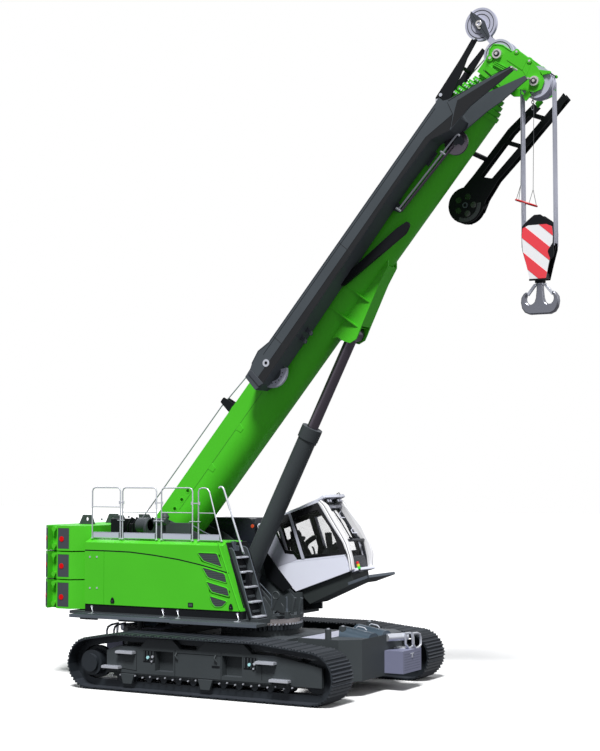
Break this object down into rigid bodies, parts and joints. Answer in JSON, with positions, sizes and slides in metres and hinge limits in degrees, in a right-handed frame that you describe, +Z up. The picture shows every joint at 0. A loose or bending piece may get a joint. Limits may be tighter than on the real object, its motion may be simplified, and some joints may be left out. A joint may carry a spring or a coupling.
{
  "type": "telescopic boom crawler crane",
  "caption": "Crawler crane with a telescopic box boom, luffing cylinder, tilting cab, stacked counterweight, stowed jib and a hook block on rope falls.",
  "frame": {"origin": "on the slewing axis at ground level, midway between the tracks", "axes": "+X forward, the way the boom points; +Y to the left, the cab side; +Z up"},
  "size_m": [11.0167, 4.92, 13.1209],
  "materials": {
    "green_paint": "satin green machine paint",
    "dark_grey_paint": "satin dark grey machine paint",
    "black_paint": "satin black paint",
    "track_steel": "worn painted steel",
    "lavender_grey_paint": "pale blue grey paint",
    "galvanised_steel": "galvanised",
    "machined_steel": "machined bright",
    "white_paint": "gloss white paint",
    "black_fabric": "woven seat cloth",
    "rod_steel": "chromed piston rod",
    "rope_steel": "greased wire rope",
    "block_paint": "black paint with warning stripes",
    "forged_steel": "forged, oiled"
  },
  "bodies": {
    "undercarriage": {"carbody": "dark_grey_paint", "slewing_gear": "track_steel", "track_frame_right": "dark_grey_paint", "track_frame_left": "dark_grey_paint", "track_right": "track_steel", "track_left": "track_steel", "track_wheels_right": "track_steel", "track_wheels_left": "track_steel", "front_ballast": "dark_grey_paint", "rear_ballast": "dark_grey_paint", "tool_boxes": "lavender_grey_paint", "step_treads": "galvanised_steel"},
    "upper": {"upper_frame": "dark_grey_paint", "main_plates": "dark_grey_paint", "counterweight_lugs": "dark_grey_paint", "slew_race": "machined_steel", "house_sill": "dark_grey_paint", "house_right": "green_paint", "house_left": "green_paint", "left_tank": "dark_grey_paint", "counterweight_lower": "green_paint", "counterweight_middle": "green_paint", "counterweight_upper": "green_paint", "handrails": "galvanised_steel", "main_winch": "dark_grey_paint", "side_ladder": "dark_grey_paint", "cab_bracket": "dark_grey_paint"},
    "cab": {"cab_shell": "white_paint", "cab_base": "dark_grey_paint", "cab_seat": "black_fabric"},
    "cab_door": {"cab_door": "white_paint"},
    "boom": {"boom_base": "green_paint", "luff_bracket": "green_paint", "stowed_jib": "dark_grey_paint", "stowed_jib_tip": "black_paint"},
    "section_1": {"boom_section_1": "green_paint"},
    "section_2": {"boom_section_2": "green_paint"},
    "section_3": {"boom_section_3": "green_paint"},
    "section_4": {"boom_section_4": "green_paint"},
    "section_5": {"boom_section_5": "green_paint", "boom_head": "green_paint", "head_sheaves": "lavender_grey_paint", "nose_sheave": "lavender_grey_paint"},
    "luff_rod": {"luff_rod": "rod_steel"},
    "luff_tube": {"luff_tube": "dark_grey_paint"},
    "falls": {"rope_falls": "rope_steel", "hook_block": "block_paint"},
    "hook": {"hook": "forged_steel"}
  },
  "joints": [
    {"name": "slew", "type": "hinge", "parent": "undercarriage", "child": "upper", "pos_m": [0, 0, 1.2175], "axis": [0, 0, 1], "continuous": true},
    {"name": "luff", "type": "hinge", "parent": "upper", "child": "boom", "pos_m": [-2.3, 0, 3], "axis": [0, -1, 0], "range_deg": [-38.2, 31.8]},
    {"name": "telescope", "type": "slide", "parent": "boom", "child": "section_1", "axis": [0.6401, 0, 0.7683], "range_m": [0, 8.8]},
    {"name": "telescope_2", "type": "slide", "parent": "section_1", "child": "section_2", "axis": [0.6401, 0, 0.7683], "range_m": [0, 8.8]},
    {"name": "telescope_3", "type": "slide", "parent": "section_2", "child": "section_3", "axis": [0.6401, 0, 0.7683], "range_m": [0, 8.8]},
    {"name": "telescope_4", "type": "slide", "parent": "section_3", "child": "section_4", "axis": [0.6401, 0, 0.7683], "range_m": [0, 8.8]},
    {"name": "telescope_5", "type": "slide", "parent": "section_4", "child": "section_5", "axis": [0.6401, 0, 0.7683], "range_m": [0, 8.8]},
    {"name": "cylinder_swing", "type": "hinge", "parent": "boom", "child": "luff_rod", "pos_m": [2.14109, 0, 6.97278], "axis": [0, -1, 0], "range_deg": [-1.6, 1.4]},
    {"name": "cylinder_stroke", "type": "slide", "parent": "luff_rod", "child": "luff_tube", "axis": [-0.4509, 0, -0.8926], "range_m": [-1.33, 1.11]},
    {"name": "falls_hang", "type": "hinge", "parent": "section_5", "child": "falls", "pos_m": [6.09673, 0, 11.47366], "axis": [0, -1, 0], "range_deg": [-32.5, 39]},
    {"name": "hook_swivel", "type": "hinge", "parent": "falls", "child": "hook", "pos_m": [6.09673, -0.14, 7.6], "axis": [0, 0, 1], "continuous": true},
    {"name": "cab_tilt", "type": "hinge", "parent": "upper", "child": "cab", "pos_m": [0.58, 1, 1.74], "axis": [0, -1, 0], "range_deg": [-19.8, 0]},
    {"name": "cab_door_slide", "type": "slide", "parent": "cab", "child": "cab_door", "axis": [-0.9409, 0, -0.3387], "range_m": [0, 0.62]}
  ],
  "couplings": [
    {"joint": "telescope_2", "follows": "telescope", "ratio": 1},
    {"joint": "telescope_3", "follows": "telescope", "ratio": 1},
    {"joint": "telescope_4", "follows": "telescope", "ratio": 1},
    {"joint": "telescope_5", "follows": "telescope", "ratio": 1},
    {"joint": "cylinder_swing", "follows": "luff", "ratio": 0.04},
    {"joint": "cylinder_stroke", "follows": "luff", "m_per_rad": 1.96},
    {"joint": "falls_hang", "follows": "luff", "ratio": -1}
  ]
}
